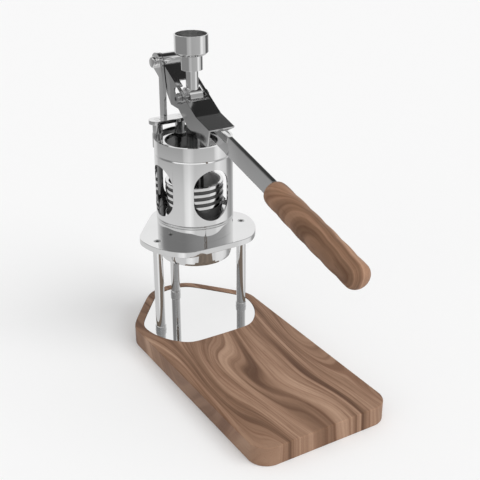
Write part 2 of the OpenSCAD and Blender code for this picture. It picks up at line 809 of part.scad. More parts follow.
module gauge_cup() {
    r = cup_d / 2;
    foot_r = r - 2.6;
    color([0.85, 0.85, 0.87]) translate([0, 0, z_pin + stem_h + collar_h]) union() {
        rotate_extrude() polygon([
            [0, 0], [foot_r, 0], [r, r - foot_r], [r, cup_h], [r - cup_wall, cup_h],
            [r - cup_wall, 6.5], [r - cup_wall - 1.5, 5], [0, 5]]);
        translate([0, 0, -collar_h + 8.5]) cylinder(r = 4, h = collar_h - 8.5 + eps);
    }
}

base_board();
base_plate();
base_screws();
leg_left();
leg_right();
leg_rear();
platform();
platform_screws();
brew_head();
head_gasket();
dispersion_screen();
brew_chamber();
chamber_seal();
shell();
top_ring();
post_left();
post_right();
post_rear();
post_screws();
bridge_plate();
upright_left();
upright_right();
pivot_pin();
pivot_caps();
lever_channel();
lever_hub();
pivot_bushes();
lever_bar();
handle_grip();
crosshead();
cross_pin();
pin_washers();
pin_nut();
piston_rod();
piston_head();
piston_seals();
gauge_cup();
cup_collar();
filter_holder();
filter_basket();
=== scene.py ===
from math import asin, atan, atan2, cos, degrees, hypot, pi, radians, sin, sqrt, tan

import bpy
from mathutils import Matrix, Vector


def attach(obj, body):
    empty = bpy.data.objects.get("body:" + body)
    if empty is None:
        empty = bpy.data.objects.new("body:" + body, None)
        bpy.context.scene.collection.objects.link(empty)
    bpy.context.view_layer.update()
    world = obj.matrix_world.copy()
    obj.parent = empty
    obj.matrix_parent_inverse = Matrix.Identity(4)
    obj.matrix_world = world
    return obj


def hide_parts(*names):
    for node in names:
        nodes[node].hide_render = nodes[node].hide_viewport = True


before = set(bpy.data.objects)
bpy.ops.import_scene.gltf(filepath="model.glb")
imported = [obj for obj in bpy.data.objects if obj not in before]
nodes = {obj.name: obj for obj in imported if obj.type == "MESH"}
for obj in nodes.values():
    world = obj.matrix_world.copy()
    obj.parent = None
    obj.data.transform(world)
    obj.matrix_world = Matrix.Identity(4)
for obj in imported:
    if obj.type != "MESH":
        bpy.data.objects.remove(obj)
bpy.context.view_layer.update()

scene = bpy.context.scene
MM = 0.001

# Sizes in mm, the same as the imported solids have
BOARD_FRONT, BOARD_T, CORNER_R, BOARD_EDGE = 244, 20, 19, 1
DECK_REACH, DECK_FLAT, RIM_W = 63.6, 53.7, 9.5
Z_PLATE, Z_DECK_LOW, Z_DECK, Z_SHELL, Z_RING, Z_RIM = 19.5, 117, 123, 140, 209, 224
Z_BRIDGE_LOW, Z_BRIDGE, Z_PIVOT, Z_PIN = 234, 238, 293, 265
LEG_R, LEG_ANGLES, LEG_D = 51.1, (192, -12, 90), 10
FLAT_ANGLES = (-90, 39, 141)
PLATE_T, FIT_GAP = 2, 0.3
SHELL_R, SHELL_WALL, SPIGOT_R, SPIGOT_H, SEAM = 40, 2, 37.9, 2.5, 0.8
WINDOW_R, WINDOW_H, WINDOW_LOW = 19.5, 54, 5.6
LEDGE_R, LEDGE_SUNK, LEDGE_T = 29.2, 3.5, 4
POST_X, POST_Y, POST_R, SPIGOT_PIN_R = 25.7, 28.5, 5.2, 2.95
BRIDGE_END, BRIDGE_R = 26.5, 8.25
PIVOT_Y, EYE_R = 42, 9.5
CHANNEL_W, SHEET_T, UPRIGHT_X, UPRIGHT_T = 28, 1.6, 14.4, 4
FOLD_AT, TOP_RISE, NOSE_LEN, CHANNEL_DEPTH = 83.6, 3.7, 26.5, 19
ARM_SLOPE, BAR_SLOPE = 30, 14
BAR_H, BAR_T, BAR_LEN, BAR_RAMP, SIDE_CUT = 19, 5, 121.5, 16, 22
GRIP_R, GRIP_LEN, GRIP_DROP = 13, 136, 10.3
STEM_R, STEM_H, COLLAR_H, CUP_R, CUP_H = 6.3, 27.5, 15, 16.8, 20


# Camera, at the photograph's place

def aim(thing, target):
    thing.rotation_euler = (Vector(target) - thing.location).to_track_quat("-Z", "Y").to_euler()


bpy.ops.object.camera_add(location=(-0.41782, -0.77908, 0.52013))
camera = bpy.context.object
aim(camera, (0.040387, -0.024525, 0.107883))
camera.data.lens = 68.64
camera.data.sensor_width = 36
camera.data.clip_start = 0.01
scene.camera = camera


# Node helpers

def add(tree, kind, place=(0, 0), **values):
    node = tree.nodes.new(kind)
    node.location = place
    for key, value in values.items():
        setattr(node, key, value)
    return node


def link(tree, source, out_name, target, in_name):
    tree.links.new(source.outputs[out_name], target.inputs[in_name])


def feed(tree, value, socket):
    """Links a socket to another, or sets it to a fixed value"""
    if isinstance(value, bpy.types.NodeSocket):
        tree.links.new(value, socket)
    else:
        socket.default_value = value


def ramp_stops(node, stops):
    ramp = node.color_ramp
    ramp.interpolation = "LINEAR"
    while len(ramp.elements) > 1:
        ramp.elements.remove(ramp.elements[-1])
    ramp.elements[0].position = stops[0][0]
    ramp.elements[0].color = colour(stops[0][1])
    for place, value in stops[1:]:
        ramp.elements.new(place).color = colour(value)


def math(tree, operation, a, b, place=(0, 0)):
    node = add(tree, "ShaderNodeMath", place, operation=operation)
    feed(tree, a, node.inputs[0])
    feed(tree, b, node.inputs[1])
    return node.outputs[0]


def graded(tree, value, span, place, onto=(0, 1), soft=False):
    """Grades a value from one span onto another; soft eases both ends"""
    node = add(tree, "ShaderNodeMapRange", place, interpolation_type="SMOOTHSTEP" if soft else "LINEAR")
    for label, number in zip(("From Min", "From Max", "To Min", "To Max"), (*span, *onto)):
        node.inputs[label].default_value = number
    tree.links.new(value, node.inputs["Value"])
    return node.outputs["Result"]


def mixed(tree, factor, a, b, place, blend="MIX"):
    """Mixes two colours, each a socket or a fixed colour"""
    node = add(tree, "ShaderNodeMix", place, data_type="RGBA", blend_type=blend)
    for label, value in (("Factor", factor), ("A", a), ("B", b)):
        feed(tree, value, node.inputs[label])
    return node.outputs["Result"]


def noise(tree, vector, scale, place, detail=2.0, rough=0.5):
    node = add(tree, "ShaderNodeTexNoise", place)
    tree.links.new(vector, node.inputs["Vector"])
    for label, value in (("Scale", scale), ("Detail", detail), ("Roughness", rough)):
        feed(tree, value, node.inputs[label])
    return node.outputs["Fac"]


def coordinates(tree, kind, place):
    return add(tree, "ShaderNodeTexCoord", place).outputs[kind]


def axes_of(tree, vector, place):
    node = add(tree, "ShaderNodeSeparateXYZ", place)
    tree.links.new(vector, node.inputs["Vector"])
    return node.outputs


def glow(tree, kind, tone, strength, place):
    """A background or an emission of one tone and strength"""
    node = add(tree, kind, place)
    feed(tree, tone, node.inputs["Color"])
    feed(tree, strength, node.inputs["Strength"])
    return node.outputs[0]


def either(tree, ray, other, shown, place):
    """Shows one shader to a kind of ray, and another to the rest"""
    node = add(tree, "ShaderNodeMixShader", place)
    for index, socket in enumerate((ray, other, shown)):
        tree.links.new(socket, node.inputs[index])
    return node.outputs[0]


def linear(value):
    value = value / 255
    return value / 12.92 if value <= 0.04045 else ((value + 0.055) / 1.055) ** 2.4


def colour(value):
    if isinstance(value, (int, float)):
        value = (value, value, value)
    return tuple(linear(v) for v in value) + (1,)


# Soft studio light: what polished steel reflects runs round the object, as angles round Z and tones

FAR_FLOOR = [(-180, 137), (-150, 137), (-146, 168), (-128, 190), (-120, 184), (-116, 170), (-60, 178),
             (-54, 222), (-44, 245), (-30, 214), (-14, 205), (-8, 128), (2, 92), (12, 104), (24, 140),
             (40, 200), (95, 226), (112, 190), (118, 137), (180, 137)]
NEAR_FLOOR = [(-180, 208), (-150, 208), (-144, 232), (-132, 246), (-126, 232), (-118, 212), (-60, 214),
              (-54, 230), (-30, 232), (-14, 215), (-4, 165), (12, 150), (24, 170), (40, 205), (95, 215),
              (118, 208), (180, 208)]
WALLS = [(-180, 129), (-152, 129), (-120, 145), (-60, 158), (-20, 178), (20, 225), (45, 240),
         (80, 240), (105, 205), (130, 140), (150, 129), (180, 129)]
CEILING = [(-180, 250), (-60, 250), (-20, 82), (110, 82), (160, 250), (180, 250)]
# Heights of a direction at which the floor gives way to the walls, and these to the ceiling
WALL_FOOT, CEILING_EDGE, CEILING_DEPTH = (-0.12, 0.2), (0.57, 0.63), (0.72, 0.9)
SOFT_LIGHT = 0.62
# What the camera sees the floor lifted by, and how far off mirrors see it fade, in metres
FLOOR_LIFT, FLOOR_FADE = 0.15, (0.36, 0.85)


def turned_way(tree, axes):
    """Angle of a direction round Z, from 0 to 1"""
    angle = math(tree, "ARCTAN2", axes["Y"], axes["X"], (-500, 100))
    return graded(tree, angle, (-pi, pi), (-300, 100))


def band(tree, turn, stops):
    """Greys round Z, from stops of angle and tone"""
    node = add(tree, "ShaderNodeValToRGB")
    ramp_stops(node, [((a + 180) / 360, v) for a, v in stops])
    tree.links.new(turn, node.inputs["Fac"])
    return node.outputs["Color"]


def studio():
    world = bpy.data.worlds.new("studio")
    scene.world = world
    world.use_nodes = True
    tree = world.node_tree
    tree.nodes.clear()
    axes = axes_of(tree, coordinates(tree, "Generated", (-900, 0)), (-700, 0))
    turn = turned_way(tree, axes)
    height = graded(tree, axes["Z"], WALL_FOOT, (0, -300), soft=True)
    walls = mixed(tree, height, band(tree, turn, FAR_FLOOR), band(tree, turn, WALLS), (300, 0))
    # Only faces that lean towards the viewer reflect the dark ceiling
    depth = graded(tree, axes["Z"], CEILING_DEPTH, (300, -500), onto=(0, 0.85))
    ceiling = mixed(tree, depth, band(tree, turn, CEILING), colour(110), (380, -300), "MULTIPLY")
    edge = graded(tree, axes["Z"], CEILING_EDGE, (300, -300), soft=True)
    mirrored = glow(tree, "ShaderNodeBackground", mixed(tree, edge, walls, ceiling, (450, 0)), 1, (600, 100))
    soft = glow(tree, "ShaderNodeBackground", (1, 1, 1, 1), SOFT_LIGHT, (600, -100))
    backdrop = glow(tree, "ShaderNodeBackground", colour(250), 1, (600, -300))
    path = add(tree, "ShaderNodeLightPath", (600, 400)).outputs
    light = either(tree, path["Is Glossy Ray"], soft, mirrored, (800, 0))
    view = either(tree, path["Is Camera Ray"], light, backdrop, (1000, 0))
    out = add(tree, "ShaderNodeOutputWorld", (1200, 0))
    tree.links.new(view, out.inputs["Surface"])


def sun(name, place, spread, strength):
    """Even light from one side; spread in degrees softens its shadow"""
    bpy.ops.object.light_add(type="SUN", location=place)
    light = bpy.context.object
    light.name = name
    light.data.angle = radians(spread)
    light.data.energy = strength
    light.visible_glossy = False
    aim(light, (0, 0, 0))


studio()
sun("key_sun", (0.6, -0.9, 1.2), 45, 1.4)
sun("front_sun", (0.1, -1.5, 0.45), 50, 0.2)
sun("left_sun", (-1.5, -0.3, 0.3), 50, 0.35)
scene.view_settings.view_transform = "Standard"


def lay_floor():
    bpy.ops.mesh.primitive_circle_add(vertices=64, radius=6, fill_type="NGON", location=(0, 0, 0))
    floor = bpy.context.object
    floor.name = "floor"
    material = bpy.data.materials.new("pale_floor")
    material.use_nodes = True
    tree = material.node_tree
    tree.nodes.clear()
    path = add(tree, "ShaderNodeLightPath", (-200, 300)).outputs
    paint = add(tree, "ShaderNodeBsdfDiffuse", (0, 100))
    paint.inputs["Color"].default_value = (0.8, 0.8, 0.8, 1)
    lifted = math(tree, "MULTIPLY", path["Is Camera Ray"], FLOOR_LIFT)
    both = add(tree, "ShaderNodeAddShader", (300, 0))
    tree.links.new(paint.outputs[0], both.inputs[0])
    tree.links.new(glow(tree, "ShaderNodeEmission", (1, 1, 1, 1), lifted, (0, -100)), both.inputs[1])
    # Mirrors see the floor glow with painted reflection tones, bright near the machine and greyer far off
    spot = coordinates(tree, "Object", (-900, -300))
    turn = turned_way(tree, axes_of(tree, spot, (-700, -300)))
    reach = add(tree, "ShaderNodeVectorMath", (-700, -500), operation="LENGTH")
    tree.links.new(spot, reach.inputs[0])
    fade = graded(tree, reach.outputs["Value"], FLOOR_FADE, (-500, -500), soft=True)
    tone = mixed(tree, fade, band(tree, turn, NEAR_FLOOR), band(tree, turn, FAR_FLOOR), (100, -300))
    mirrored = glow(tree, "ShaderNodeEmission", tone, 1, (300, -300))
    shown = either(tree, path["Is Glossy Ray"], both.outputs[0], mirrored, (500, 0))
    out = add(tree, "ShaderNodeOutputMaterial", (600, 0))
    tree.links.new(shown, out.inputs["Surface"])
    floor.data.materials.append(material)


lay_floor()


# Finishes

def new_finish(name):
    material = bpy.data.materials.new(name)
    material.use_nodes = True
    tree = material.node_tree
    return material, tree, tree.nodes["Principled BSDF"]


def group(name, inputs, outputs):
    tree = bpy.data.node_groups.new(name, "ShaderNodeTree")
    for kind, label, value in inputs:
        socket = tree.interface.new_socket(label, in_out="INPUT", socket_type=kind)
        if value is not None:
            socket.default_value = value
    for kind, label in outputs:
        tree.interface.new_socket(label, in_out="OUTPUT", socket_type=kind)
    return tree, add(tree, "NodeGroupInput", (-900, 0)), add(tree, "NodeGroupOutput", (900, 0))


def handling_marks():
    """Faint wipe marks and dust on polished metal, as masks from 0 to 1"""
    tree, taken, given = group("handling_marks", [
        ("NodeSocketVector", "Vector", None), ("NodeSocketFloat", "Scale", 30.0)],
        [("NodeSocketFloat", "Marks"), ("NodeSocketFloat", "Fine")])
    vector, scale = taken.outputs["Vector"], taken.outputs["Scale"]
    fine_scale = math(tree, "MULTIPLY", scale, 14.0, (-600, -200))
    tree.links.new(noise(tree, vector, scale, (-500, 100), 5), given.inputs["Marks"])
    tree.links.new(noise(tree, vector, fine_scale, (-400, -200), 3), given.inputs["Fine"])
    return tree


MARKS = handling_marks()


def polished(name, shade, rough=0.06, marks_scale=30.0, metal=1.0):
    """Polished metal with faint wipe marks"""
    material, tree, shader = new_finish(name)
    marks = add(tree, "ShaderNodeGroup", (-800, 0))
    marks.node_tree = MARKS
    marks.inputs["Scale"].default_value = marks_scale
    tree.links.new(coordinates(tree, "Object", (-1100, 0)), marks.inputs["Vector"])
    channels = shade if isinstance(shade, tuple) else (shade,) * 3
    wiped = colour(tuple(min(255, v * 1.04) for v in channels))
    tone = mixed(tree, marks.outputs["Marks"], colour(shade), wiped, (-300, 200))
    tree.links.new(tone, shader.inputs["Base Color"])
    gloss = graded(tree, marks.outputs["Fine"], (0, 1), (-300, -100), onto=(rough * 0.6, rough * 1.5))
    tree.links.new(gloss, shader.inputs["Roughness"])
    shader.inputs["Metallic"].default_value = metal
    return material


def shaded_along(material, start, end, tones):
    """Paints shade into a finish's colour along Y, a tone at each step between two places"""
    tree = material.node_tree
    base = tree.nodes["Principled BSDF"].inputs["Base Color"]
    plain = base.links[0].from_socket
    axes = axes_of(tree, coordinates(tree, "Object", (-1100, 500)), (-900, 500))
    ramp = add(tree, "ShaderNodeValToRGB", (-500, 500))
    ramp_stops(ramp, [(i / (len(tones) - 1), v) for i, v in enumerate(tones)])
    tree.links.new(graded(tree, axes["Y"], (start * MM, end * MM), (-700, 500)), ramp.inputs["Fac"])
    tree.links.new(mixed(tree, 1.0, plain, ramp.outputs["Color"], (-150, 300), "MULTIPLY"), base)
    return material


def walnut_grain():
    """Flowing walnut figure along the vector's Y: broad and fine streaks, bent by a slow drift, and pores"""
    tree, taken, given = group("walnut_grain", [
        ("NodeSocketVector", "Vector", None), ("NodeSocketFloat", "Bands", 60.0),
        ("NodeSocketFloat", "Flow", 0.05)],
        [("NodeSocketFloat", "Figure"), ("NodeSocketFloat", "Lines"), ("NodeSocketFloat", "Pores")])
    vector = taken.outputs["Vector"]

    def stretched(scale, place):
        node = add(tree, "ShaderNodeMapping", place)
        node.inputs["Scale"].default_value = scale
        tree.links.new(vector, node.inputs["Vector"])
        return node.outputs["Vector"]

    # Slow drift that bends the year rings into arches
    drift = noise(tree, stretched((1.0, 0.34, 0.15), (-700, 200)), 15, (-500, 200), 1, 0.35)
    axes = axes_of(tree, vector, (-500, 0))
    off = math(tree, "SUBTRACT", drift, 0.5, (-300, 200))
    bent = math(tree, "MULTIPLY", off, taken.outputs["Flow"], (-200, 200))
    across = math(tree, "ADD", axes["X"], bent, (-100, 100))

    def streaks(share, along, place):
        side = math(tree, "MULTIPLY", math(tree, "MULTIPLY", across, taken.outputs["Bands"]), share)
        spot = add(tree, "ShaderNodeCombineXYZ", place)
        tree.links.new(side, spot.inputs["X"])
        tree.links.new(math(tree, "MULTIPLY", axes["Y"], along), spot.inputs["Y"])
        return noise(tree, spot.outputs["Vector"], 1.0, (place[0] + 200, place[1]), 3.0, 0.62)

    tree.links.new(streaks(1.0, 3.0, (100, 200)), given.inputs["Figure"])
    tree.links.new(streaks(4.5, 5.0, (100, -50)), given.inputs["Lines"])
    # Pores: short dark strokes along the grain
    pores = noise(tree, stretched((1500.0, 60.0, 1500.0), (-300, -500)), 1.0, (-100, -500))
    tree.links.new(pores, given.inputs["Pores"])
    return tree


GRAIN = walnut_grain()
FIGURE_STOPS = (0.34, 0.46, 0.54, 0.67)
WOOD_LINE, WOOD_PORE, WOOD_IN_MIRROR = (196, 178, 166), (150, 130, 118), (112, 106, 96)


def walnut(name, turn=(0, 0, 0), shift=(0, 0, 0), bands=75.0, flow=0.11,
           tones=((108, 79, 60), (138, 106, 84), (157, 124, 101), (182, 149, 125))):
    """Oiled walnut; turn brings the grain's way onto the pattern's Y"""
    material, tree, shader = new_finish(name)
    mapping = add(tree, "ShaderNodeMapping", (-1300, 0))
    mapping.inputs["Rotation"].default_value = [radians(v) for v in turn]
    mapping.inputs["Location"].default_value = shift
    tree.links.new(coordinates(tree, "Object", (-1500, 0)), mapping.inputs["Vector"])
    grain = add(tree, "ShaderNodeGroup", (-1000, 0))
    grain.node_tree = GRAIN
    grain.inputs["Bands"].default_value = bands
    grain.inputs["Flow"].default_value = flow
    link(tree, mapping, "Vector", grain, "Vector")
    figure = add(tree, "ShaderNodeValToRGB", (-700, 200))
    ramp_stops(figure, list(zip(FIGURE_STOPS, tones)))
    link(tree, grain, "Figure", figure, "Fac")
    line_mask = graded(tree, grain.outputs["Lines"], (0.46, 0.66), (-600, 0), onto=(0, 0.75))
    lined = mixed(tree, line_mask, figure.outputs["Color"], colour(WOOD_LINE), (-400, 200), "MULTIPLY")
    pore_mask = graded(tree, grain.outputs["Pores"], (0.55, 0.75), (-600, -200), onto=(0, 0.3))
    pored = mixed(tree, pore_mask, lined, colour(WOOD_PORE), (-200, 200), "MULTIPLY")
    # Painted reflection: glossy rays see the wood darker and greyer than it is
    path = add(tree, "ShaderNodeLightPath", (-200, 500))
    in_mirror = math(tree, "MULTIPLY", path.outputs["Is Glossy Ray"], 0.75)
    mirror_painted_tone = mixed(tree, in_mirror, pored, colour(WOOD_IN_MIRROR), (-50, 300))
    tree.links.new(mirror_painted_tone, shader.inputs["Base Color"])
    bump = add(tree, "ShaderNodeBump", (-200, -200))
    bump.inputs["Strength"].default_value = 0.2
    bump.inputs["Distance"].default_value = 0.0003
    link(tree, grain, "Pores", bump, "Height")
    link(tree, bump, "Normal", shader, "Normal")
    shader.inputs["Roughness"].default_value = 0.5
    shader.inputs["Specular IOR Level"].default_value = 0.25
    return material


def rubber(name, shade):
    """Matt rubber with a fine mottle"""
    material, tree, shader = new_finish(name)
    mottle = noise(tree, coordinates(tree, "Object", (-900, 0)), 400, (-600, 0))
    darker = colour(tuple(v * 0.85 for v in shade))
    tree.links.new(mixed(tree, mottle, colour(shade), darker, (-300, 100)), shader.inputs["Base Color"])
    bump = add(tree, "ShaderNodeBump", (-300, -200))
    bump.inputs["Distance"].default_value = 0.0001
    tree.links.new(mottle, bump.inputs["Height"])
    link(tree, bump, "Normal", shader, "Normal")
    shader.inputs["Roughness"].default_value = 0.6
    return material


STEEL = polished("polished_steel", 236, 0.04)
MIRROR = polished("mirror_plate", 246, 0.02, marks_scale=12.0)
LEG_STEEL = polished("leg_steel", 232, 0.06)
SATIN_STEEL = polished("satin_steel", 240, 0.6)
# The lever bar carries painted shade, darker further forward along it
BAR_STEEL = shaded_along(polished("bar_steel", 236, 0.05), -60, -140, (255, 228, 203, 195, 190, 187))
# Walls that face the axis inside the shell and ring get this dark steel as painted shade
BORE_SHADE_STEEL = polished("bore_painted_shade", 96, 0.12)
CUP_INSIDE = polished("cup_inside", 214, 0.3)
HEAD_STEEL = polished("dark_polish", 230, 0.05)
SHEET_STEEL = polished("lever_sheet", 200, 0.10)
TURNED_STEEL = polished("turned_steel", 190, 0.16, marks_scale=60.0)
ENAMEL = polished("black_gloss", 72, 0.08, metal=0.0)
# A pale finish that paints a reflection on the right part of the bores
BORE_REFLECTION_PAINT = polished("bore_painted_reflection", 250, 0.4, metal=0.2)
# Blackened steel for the screws, also used on the lever sheet's side bevels as a painted dark reflection
# line
BLACKENED_AND_EDGE_REFLECTION = polished("blackened_steel_and_painted_edge_reflection", 60, 0.3)
BRONZE = polished("sintered_bronze", (178, 140, 88), 0.35)
SEAL = rubber("seal_rubber", (150, 66, 48))
WALNUT_BOARD = walnut("walnut_board", shift=(0.031, 0.05, 0.0), bands=62.0, flow=0.12)
WALNUT_GRIP = walnut("walnut_grip", turn=(-BAR_SLOPE, 0, 0), shift=(0.0, 0.1, 0.02), bands=48.0, flow=0.2,
                     tones=((106, 78, 58), (140, 107, 84), (166, 130, 105), (192, 154, 127)))


# Modelling helpers: each drawing is pulled point by point from one corner, in mm

def drop_selection():
    if bpy.context.object and bpy.context.object.mode != "OBJECT":
        bpy.ops.object.mode_set(mode="OBJECT")
    bpy.ops.object.select_all(action="DESELECT")


def pick(piece):
    """Selects one piece alone and makes it the active one"""
    drop_selection()
    bpy.context.view_layer.objects.active = piece
    piece.select_set(True)


def trace(name, points, closed=True):
    """Starts a piece as one corner and pulls an edge from point to point"""
    drop_selection()
    bpy.ops.mesh.primitive_plane_add(size=MM, location=(0, 0, 0))
    piece = bpy.context.object
    piece.name = piece.data.name = name
    bpy.ops.object.mode_set(mode="EDIT")
    bpy.ops.mesh.select_all(action="SELECT")
    bpy.ops.mesh.merge(type="CENTER")
    bpy.ops.transform.translate(value=Vector(points[0]) * MM)
    ends = points[1:] + ([points[0]] if closed else [])
    for here, there in zip(points, ends):
        step = (Vector(there) - Vector(here)) * MM
        bpy.ops.mesh.extrude_vertices_move(TRANSFORM_OT_translate={"value": step})
    bpy.ops.mesh.select_all(action="SELECT")
    bpy.ops.mesh.remove_doubles(threshold=1e-6)
    return piece


def turned(name, profile, steps=96, at=(0, 0), axis="Z"):
    """Turns a profile of radius and height about an upright axis at a place, or about X"""
    on_axis = profile[0][0] == 0 and profile[-1][0] == 0
    if axis == "Z":
        points = [(at[0] + r, at[1], z) for r, z in profile]
        centre, way = Vector((at[0], at[1], 0)) * MM, (0, 0, 1)
    else:
        points = [(z, at[0], at[1] + r) for r, z in profile]
        centre, way = Vector((0, at[0], at[1])) * MM, (1, 0, 0)
    piece = trace(name, points, closed=not on_axis)
    bpy.ops.mesh.select_all(action="SELECT")
    bpy.ops.mesh.spin(steps=steps, angle=2 * pi, center=centre, axis=way)
    return closed_up(piece)


def closed_up(piece):
    """Merges what coincides and turns the faces outwards"""
    bpy.ops.mesh.select_all(action="SELECT")
    bpy.ops.mesh.remove_doubles(threshold=1e-6)
    bpy.ops.mesh.normals_make_consistent(inside=False)
    bpy.ops.object.mode_set(mode="OBJECT")
    return piece


def sawn(name, outline, thickness, start=0.0, way="Z"):
    """Saws a plate from an outline: flat drawings lie in XY, and with way X in YZ"""
    if way == "Z":
        points, pull = [(a, b, start) for a, b in outline], (0, 0, thickness * MM)
    else:
        points, pull = [(start, a, b) for a, b in outline], (thickness * MM, 0, 0)
    piece = trace(name, points)
    bpy.ops.mesh.select_all(action="SELECT")
    bpy.ops.mesh.edge_face_add()
    bpy.ops.mesh.extrude_region_move(TRANSFORM_OT_translate={"value": pull})
    return closed_up(piece)


def apply(piece, kind, **values):
    """Adds a modifier and applies it"""
    pick(piece)
    modifier = piece.modifiers.new(kind.lower(), kind)
    for key, value in values.items():
        setattr(modifier, key, value)
    bpy.ops.object.modifier_apply(modifier=modifier.name)
    return piece


def cut(piece, cutter, operation="DIFFERENCE"):
    """Cuts one piece with another, or joins them, and throws the tool away"""
    apply(piece, "BOOLEAN", object=cutter, operation=operation, solver="EXACT")
    bpy.data.objects.remove(cutter)
    return piece


def ease(piece, width, segments=3, angle=30, shade=40):
    """Rounds every sharp edge a little, so that it catches the light"""
    apply(piece, "BEVEL", width=width * MM, segments=segments, limit_method="ANGLE",
          angle_limit=radians(angle), use_clamp_overlap=True, miter_outer="MITER_ARC")
    return smooth(piece, shade)


def smooth(piece, angle=40):
    pick(piece)
    bpy.ops.object.shade_smooth_by_angle(angle=radians(angle))
    return apply(piece, "WEIGHTED_NORMAL", keep_sharp=True, weight=50)


def placed(piece, x=0.0, y=0.0, z=0.0):
    """Moves a piece and puts its place into its mesh"""
    pick(piece)
    piece.location = Vector((x, y, z)) * MM
    bpy.ops.object.transform_apply(location=True, rotation=True, scale=True)
    return piece


def copied(piece, name):
    twin = piece.copy()
    twin.data = piece.data.copy()
    twin.name = twin.data.name = name
    scene.collection.objects.link(twin)
    return twin


def hand_over(piece, body, slot, finish, *stands_for):
    piece.data.materials.clear()
    piece.data.materials.append(finish)
    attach(piece, body)
    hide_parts(*stands_for)
    return piece


def bore_faces(piece):
    """The faces that look at the axis, each with its centre in mm"""
    for face in piece.data.polygons:
        x, y, z = (v / MM for v in face.center)
        if face.normal.x * x + face.normal.y * y < -0.3 * hypot(x, y):
            yield face, x, y, z


def line_inside(piece, finish, reach, low, high):
    """Gives the walls that face the axis a second finish, within a radius and between two heights"""
    piece.data.materials.append(finish)
    for face, x, y, z in bore_faces(piece):
        if hypot(x, y) < reach and low < z < high:
            face.material_index = 1


def paint_bore_reflection(piece, low):
    """Paints a light reflection, as a pale finish, on the right part of the walls that face the axis"""
    piece.data.materials.append(BORE_REFLECTION_PAINT)
    for face, x, y, z in bore_faces(piece):
        if -42 < degrees(atan2(y, x)) < 38 and z > low:
            face.material_index = len(piece.data.materials) - 1


def arc(centre, r, a0, a1, count):
    return [(centre[0] + r * cos(radians(a0 + (a1 - a0) * i / count)),
             centre[1] + r * sin(radians(a0 + (a1 - a0) * i / count))) for i in range(count + 1)]


# Board, plate and legs

def plate_edge(angle, reach, flat, blend=26):
    """Distance of the plates' outline from the axis: a circle with three flats, softly blended"""
    total = (1 / reach) ** blend
    for f in FLAT_ANGLES:
        total += (max(cos(radians(angle - f)), 0.01) / flat) ** blend
    return total ** (-1 / blend)


def plate_outline(reach, flat, a0=0, a1=357, count=120):
    angles = [a0 + (a1 - a0) * i / (count - 1) for i in range(count)]
    return [(plate_edge(a, reach, flat) * cos(radians(a)), plate_edge(a, reach, flat) * sin(radians(a)))
            for a in angles]


def round_bar(name, r, z0, z1, at=(0, 0), steps=48, axis="Z"):
    return turned(name, [(0, z0), (r, z0), (r, z1), (0, z1)], steps, at, axis)


def leg_places():
    return [(LEG_R * cos(radians(a)), LEG_R * sin(radians(a))) for a in LEG_ANGLES]


def make_board():
    reach, flat = DECK_REACH + RIM_W, DECK_FLAT + RIM_W
    outline = (arc((-reach + CORNER_R, -BOARD_FRONT + CORNER_R), CORNER_R, 180, 270, 14)
               + arc((reach - CORNER_R, -BOARD_FRONT + CORNER_R), CORNER_R, 270, 360, 14)
               + plate_outline(reach, flat, 0, 180, 46))
    board = sawn("walnut_board", outline, BOARD_T)
    apply(board, "BEVEL", width=BOARD_EDGE * MM, segments=5, limit_method="ANGLE", angle_limit=radians(40))
    pocket = sawn("pocket", plate_outline(DECK_REACH + FIT_GAP, DECK_FLAT + FIT_GAP), 10, Z_PLATE - PLATE_T)
    cut(board, pocket)
    for place in leg_places():
        cut(board, round_bar("screw_hole", 5.5, -1, 6, place))
    smooth(board)
    hand_over(board, "frame", "walnut", WALNUT_BOARD, "base_board")


def make_plate():
    plate = sawn("mirror_plate", plate_outline(DECK_REACH, DECK_FLAT), PLATE_T, Z_PLATE - PLATE_T)
    for place in leg_places():
        cut(plate, round_bar("leg_hole", LEG_D / 2 + 0.85, Z_PLATE - 5, Z_PLATE + 3, place))
    ease(plate, 0.25, 2)
    hand_over(plate, "frame", "mirror_steel", MIRROR, "base_plate")


def make_legs():
    r = LEG_D / 2
    names = ["leg_left", "leg_right", "leg_rear"]
    pattern = turned("leg_pattern", [
        (0, Z_PLATE - PLATE_T), (r + 0.8, Z_PLATE - PLATE_T), (r + 0.8, Z_PLATE + 4.6),
        (r + 0.2, Z_PLATE + 5.2),
        (r, Z_PLATE + 5.2), (r, Z_DECK_LOW), (0, Z_DECK_LOW)], 64)
    ease(pattern, 0.25, 2)
    for name, place in zip(names, leg_places()):
        leg = placed(copied(pattern, "turned_" + name), *place)
        hand_over(leg, "frame", "mirror_steel", LEG_STEEL, name)
    bpy.data.objects.remove(pattern)


def make_platform():
    deck = sawn("platform_plate", plate_outline(DECK_REACH, DECK_FLAT), Z_DECK - Z_DECK_LOW, Z_DECK_LOW)
    cut(deck, round_bar("head_hole", SPIGOT_R + FIT_GAP, Z_DECK_LOW - 5, Z_DECK + 5, steps=96))
    for place in leg_places():
        cut(deck, round_bar("screw_hole", 3.6, Z_DECK - 3, Z_DECK + 3, place))
    ease(deck, 0.4, 3)
    hand_over(deck, "frame", "mirror_steel", STEEL, "platform")


# Brew group

